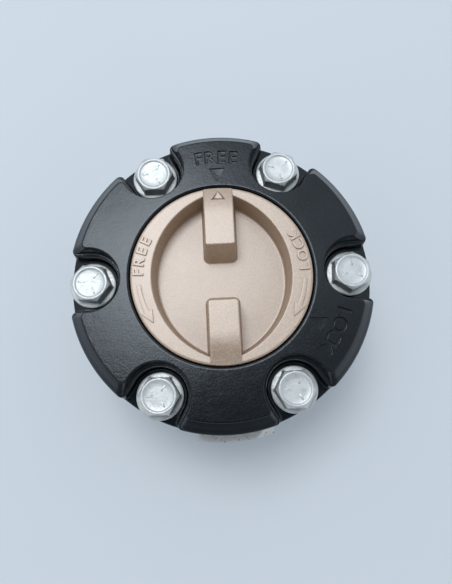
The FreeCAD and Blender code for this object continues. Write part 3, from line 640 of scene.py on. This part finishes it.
# Flange bolts: six forged M8 bolts with a flange under a dished hexagon head, bright zinc plated. They
# pass the cover and the body, and their threaded ends screw into the wheel hub.
bolt_flange = 7.95
bolt_shank = 4.0
bolt_end = -14.0
head_top = seat_height + 5.8
head_flat = 6.0
thread_pitch = 1.25
face_angles = (55.0, 11.0, 30.0, 22.0, 28.0, 30.0)


def zinc_plate():
    """Bright zinc plate: pale, cloudy, with small handling marks that dull it."""
    material, shader, s = new_finish("bright_zinc", Metallic=0.65)
    cloud = s.noise(320.0, 3.0, 0.6)
    marks = s.noise(1400.0, 2.0, 0.7).over(0.45, 0.75)
    colour = cloud.over(0.3, 0.75).blend((0.46, 0.49, 0.50, 1), (0.60, 0.64, 0.65, 1))
    rough = 0.32 + 0.22 * cloud + 0.14 * marks
    normal = cloud.bump(0.18, 0.0002)
    normal = marks.bump(0.25, 0.00006, normal)
    return feed(material, shader, Base_Color=colour, Roughness=rough, Normal=normal)


def hexagon_reach(angles, flat):
    """Distance from the centre to a hexagon's side, by angle."""
    sector = np.mod(angles + math.pi / 6, math.pi / 3) - math.pi / 6
    return flat / np.cos(sector)


def bolt_rings():
    """A bolt as rings, from the tip of its thread to the middle of the dish in its head.

    The thread is a radius that falls and rises with height and angle; the head's chamfer is a cone
    that cuts the hexagon.
    """
    angles = np.radians(np.arange(0, 360, 3.0))
    rings = [round_ring(0.0, bolt_end, angles), round_ring(bolt_shank - 1.1, bolt_end, angles)]
    turns = int(round((2.0 - bolt_end) / thread_pitch))
    for height in np.arange(bolt_end + 0.2, bolt_end + turns * thread_pitch, thread_pitch / 6):
        phase = np.mod(height / thread_pitch - angles / (2 * math.pi), 1.0)
        depth = 0.68 * np.clip(np.abs(phase * 2 - 1) * 1.25 - 0.12, 0, 1)
        taper = max(0.0, 1.0 - (height - bolt_end)) * 0.9
        ring = round_ring(1.0, height, angles)
        ring[:, :2] *= (bolt_shank - np.maximum(depth, taper))[:, None]
        rings.append(ring)
    for radius, height in ((bolt_shank, 2.6), (bolt_shank, seat_height), (bolt_flange - 0.25, seat_height),
                           (bolt_flange, seat_height + 0.25), (bolt_flange, seat_height + 0.95),
                           (bolt_flange - 0.08, seat_height + 1.08), (bolt_flange - 0.25, seat_height + 1.16),
                           (7.3, seat_height + 1.22)):
        rings.append(round_ring(radius, height, angles))
    hexagon = hexagon_reach(angles, head_flat)
    chamfer = head_top - np.maximum(hexagon - 5.72, 0) * 0.62
    for lift, outset in ((1.34, 0.25), (1.55, 0.08), (1.9, 0.0)):
        ring = round_ring(1.0, seat_height + lift, angles)
        ring[:, :2] *= (hexagon + outset)[:, None]
        rings.append(ring)
    for drop, inset in ((0.5, 0.0), (0.08, 0.03), (0.0, 0.14)):
        ring = round_ring(1.0, 0.0, angles)
        ring[:, :2] *= (hexagon - inset)[:, None]
        ring[:, 2] = chamfer - drop
        rings.append(ring)
    for radius, height in ((5.85, head_top - 0.09), (5.62, head_top), (5.2, head_top),
                           (5.02, head_top - 0.1), (4.8, head_top - 0.3), (4.55, head_top - 0.38),
                           (3.0, head_top - 0.40), (1.5, head_top - 0.38), (0.0, head_top - 0.38)):
        rings.append(round_ring(radius, height, angles))
    return np.array(rings)


def tick_rings(angle):
    """A short raised radial line in the dish of the head."""
    plan = np.array([(1.9, -0.28), (4.1, -0.28), (4.1, 0.28), (1.9, 0.28)])
    rings = []
    for height, shrink in ((head_top - 0.6, 1.0), (head_top - 0.26, 1.0), (head_top - 0.18, 0.82)):
        centre = plan.mean(0)
        rings.append(np.column_stack([turned_plan(centre + (plan - centre) * shrink, angle),
                                      np.full(4, height)]))
    return np.array(rings)


zinc = zinc_plate()
bolt = skin("bolt", bolt_rings(), zinc)
ticks = [skin("tick", tick_rings(angle), zinc, cap=True) for angle in (30.0, 150.0, 270.0)]
one_bolt = join_meshes("bolt", [bolt.data] + [tick.data for tick in ticks])
bolt_meshes = []
for number, face in enumerate(face_angles):
    copy = one_bolt.copy()
    centre = around((0, 0), bolt_circle, bolt_spacing * number, bolt_spacing * number, 1)[0] * MM
    copy.transform(Matrix.Translation((centre[0], centre[1], 0)) @ Matrix.Rotation(math.radians(face), 4, "Z"))
    bolt_meshes.append(copy)
bolts = settle("plated_bolts", join_meshes("plated_bolts", bolt_meshes), zinc)
for piece in [bolt] + ticks:
    bpy.data.objects.remove(piece)
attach(bolts, "housing")
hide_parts("flange_bolts")

# Body: a light-alloy casting left bare, turned on its seats and broached inside. The cover's gasket
# lies on it, and its pilot sleeve enters the wheel hub.


def raw_casting():
    """Bare cast alloy: a sandy skin with shallow pits and dull grey patches."""
    material, shader, s = new_finish("bare_casting", Metallic=0.85)
    grain = s.noise(900.0, 4.0, 0.65)
    pits = s.cells(750.0).over(0.0, 0.35)
    patches = s.noise(45.0, 4.0, 0.6)
    ground = patches.over(0.3, 0.7).blend((0.52, 0.53, 0.54, 1), (0.74, 0.75, 0.76, 1))
    colour = pits.blend((0.24, 0.24, 0.245, 1), ground)
    rough = 0.42 + 0.25 * grain
    normal = grain.bump(0.45, 0.00022)
    normal = pits.bump(0.35, 0.00018, normal)
    return feed(material, shader, Base_Color=colour, Roughness=rough, Normal=normal)


body_sharp_angle = 30.0
body = settle("cast_body", nodes["body"].data.copy(), raw_casting(), body_sharp_angle)
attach(body, "housing")
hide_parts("body")

# Inner hub and clutch ring: steel, turned and broached, then oiled. The inner hub slides on the axle's
# spline and turns in the bearing ring; the clutch ring slides in the body's splines.


def turned_steel(name, tone, rough_base):
    """Machined steel with fine rings left by the lathe, and an uneven film of oil."""
    material, shader, s = new_finish(name, Metallic=1.0)
    place = s.node("ShaderNodeTexCoord", output=3)
    radius = s.node("ShaderNodeVectorMath", {0: place, 1: (1.0, 1.0, 0.0)}, operation="MULTIPLY")
    reach = s.node("ShaderNodeVectorMath", {0: radius}, output=1, operation="LENGTH")
    height = s.node("ShaderNodeSeparateXYZ", {0: place}, output=2)
    rings = ((reach + height) * 9000.0).maths("SINE")
    film = s.noise(90.0, 3.0, 0.6)
    low = tuple(0.78 * value for value in tone) + (1,)
    colour = film.over(0.3, 0.7).blend(low, tuple(tone) + (1,))
    rough = rough_base + 0.18 * film
    normal = rings.bump(0.12, 0.00003)
    return feed(material, shader, Base_Color=colour, Roughness=rough, Normal=normal)


def dress(node, material):
    """Gives a solid its finish; its points stay where they are."""
    mesh = nodes[node].data
    mesh.materials.clear()
    mesh.materials.append(material)


steel = turned_steel("turned_steel", (0.50, 0.50, 0.51), 0.24)
for node in ("inner_hub", "clutch", "thrust_washer", "spacer", "dowel_pins"):
    dress(node, steel)

# Bearing ring: turned bronze, pressed into the pilot; the inner hub's journal runs in it.
bronze = turned_steel("turned_bronze", (0.66, 0.44, 0.22), 0.26)
dress("hub_ring", bronze)

# Stampings and retaining rings: spring steel with a black phosphate finish. The follower's bent-up
# fingers carry the pins that ride in the dial's cam slots.


def phosphated_steel():
    """Dark phosphate on stamped steel, with brighter rubbed patches."""
    material, shader, s = new_finish("phosphated_steel", Metallic=0.8)
    crystals = s.noise(2500.0, 3.0, 0.6)
    rubbed = s.noise(180.0, 3.0, 0.6).over(0.5, 0.7)
    colour = rubbed.blend((0.075, 0.073, 0.070, 1), (0.20, 0.195, 0.19, 1))
    rough = 0.52 + 0.2 * crystals
    return feed(material, shader, Base_Color=colour, Roughness=rough, Normal=crystals.bump(0.3, 0.00005))


stamped = phosphated_steel()
for node in ("follower", "body_snap_ring", "inner_snap_ring", "dial_snap_ring"):
    dress(node, stamped)

# Springs: oil-tempered wire. The large one pushes the clutch ring home, the second lets it wait for the
# teeth to meet, and the small one presses the detent ball.
tempered = turned_steel("tempered_wire", (0.20, 0.20, 0.215), 0.30)
for node in ("compression_spring", "tension_spring", "detent_spring"):
    dress(node, tempered)

# Detent ball: a polished bearing ball.
polished = turned_steel("polished_ball", (0.72, 0.72, 0.74), 0.06)
dress("detent_ball", polished)

# O-ring: nitrile rubber, greased, in the dial's groove.


def greased_rubber():
    """Black rubber with a thin film of grease."""
    material, shader, s = new_finish("greased_rubber", Metallic=0.0)
    film = s.noise(400.0, 2.0, 0.5)
    colour = film.blend((0.008, 0.008, 0.009, 1), (0.020, 0.020, 0.021, 1))
    return feed(material, shader, Base_Color=colour, Roughness=0.30 + 0.30 * film,
                Normal=film.bump(0.15, 0.0001))


dress("dial_o_ring", greased_rubber())

# Cover gasket: a sheet of compressed fibre, punched to the flange's outline.


def fibre_sheet():
    """Grey-brown fibre sheet: short flecks in a matt ground."""
    material, shader, s = new_finish("fibre_sheet", Metallic=0.0)
    flecks = s.noise(2600.0, 4.0, 0.7)
    colour = flecks.over(0.35, 0.65).blend((0.16, 0.15, 0.125, 1), (0.30, 0.28, 0.23, 1))
    return feed(material, shader, Base_Color=colour, Roughness=0.75 + 0.2 * flecks,
                Normal=flecks.bump(0.4, 0.0001))


dress("cover_gasket", fibre_sheet())

# Floor, lights and camera: a pale sheet with painted shade in front of the viewer, one soft lamp
# up and to the left, a soft sky that is dark around the viewer, and a viewpoint almost straight above.


def pale_sheet_with_painted_shade():
    """Matt pale sheet with a faint unevenness, whose colour darkens into painted shade in front of the viewer.
    """
    material, shader, s = new_finish("pale_sheet_with_painted_shade", Metallic=0.0, Specular_IOR_Level=0.2)
    cloud = s.noise(6.0, 2.0, 0.5)
    pale = cloud.blend((0.60, 0.65, 0.70, 1), (0.63, 0.68, 0.73, 1))
    place = s.node("ShaderNodeTexCoord", output=3)
    forward = s.node("ShaderNodeSeparateXYZ", {0: place}, output=1)
    # painted shade: the sheet's colour darkens towards the front, where the viewer stands
    colour = forward.over(-0.25, -0.14).blend((0.12, 0.13, 0.14, 1), pale)
    return feed(material, shader, Base_Color=colour, Roughness=0.8 + 0.1 * cloud)


floor_height = cad_box[0].z
floor_size = 3.0
floor_mesh = bpy.data.meshes.new("floor")
floor_corners = [(-floor_size, -floor_size), (floor_size, -floor_size), (floor_size, floor_size),
                 (-floor_size, floor_size)]
floor_mesh.from_pydata([(x, y, floor_height) for x, y in floor_corners], [], [(0, 1, 2, 3)])
floor_mesh.materials.append(pale_sheet_with_painted_shade())
floor = bpy.data.objects.new("floor", floor_mesh)
bpy.context.scene.collection.objects.link(floor)


def soft_lamp(name, place, target, width, height, power, colour):
    """A rectangular lamp at a place, aimed at a target; lengths in metres, power in watts."""
    light = bpy.data.lights.new(name, "AREA")
    light.shape = "RECTANGLE"
    light.size = width
    light.size_y = height
    light.energy = power
    light.color = colour
    lamp = bpy.data.objects.new(name, light)
    lamp.location = place
    aim = Vector(target) - Vector(place)
    lamp.rotation_euler = aim.to_track_quat("-Z", "Y").to_euler()
    bpy.context.scene.collection.objects.link(lamp)
    return lamp


soft_lamp("softbox", (-0.125, 0.235, 0.86), (0, 0, 0.03), 0.33, 0.33, 3.0, (0.98, 0.99, 1.0))

world = bpy.data.worlds.new("soft sky")
bpy.context.scene.world = world
world.use_nodes = True
sky = Shade(world.node_tree)
direction = sky.node("ShaderNodeTexCoord", output=0)
near_viewer = sky.node("ShaderNodeVectorMath", {0: direction, 1: (0.0, -0.35, 0.94)}, output=1,
                       operation="DOT_PRODUCT")
strength = 0.95 - 0.93 * near_viewer.over(0.80, 0.96)
background = world.node_tree.nodes["Background"]
background.inputs["Color"].default_value = (0.88, 0.94, 1.0, 1)
world.node_tree.links.new(strength.socket, background.inputs["Strength"])

camera_data = bpy.data.cameras.new("camera")
camera_data.sensor_fit = "VERTICAL"
camera_data.sensor_height = 36.0
photo_height = 584.0
focal_pixels = 485.6
camera_data.lens = focal_pixels / photo_height * camera_data.sensor_height
camera_data.clip_start = 0.005
camera = bpy.data.objects.new("camera", camera_data)
tilt_x, tilt_y, tilt_z = (math.radians(angle) for angle in (-12.11, 0.41, 2.93))
to_camera = Matrix.Rotation(tilt_x, 3, "X") @ Matrix.Rotation(tilt_y, 3, "Y") @ Matrix.Rotation(tilt_z, 3, "Z")
eye = Vector((-1.75, -40.0, cover_top + 156.8)) * MM
camera.matrix_world = Matrix.Translation(eye) @ to_camera.transposed().to_4x4()
bpy.context.scene.collection.objects.link(camera)
bpy.context.scene.camera = camera
bpy.context.scene.view_settings.view_transform = "Standard"
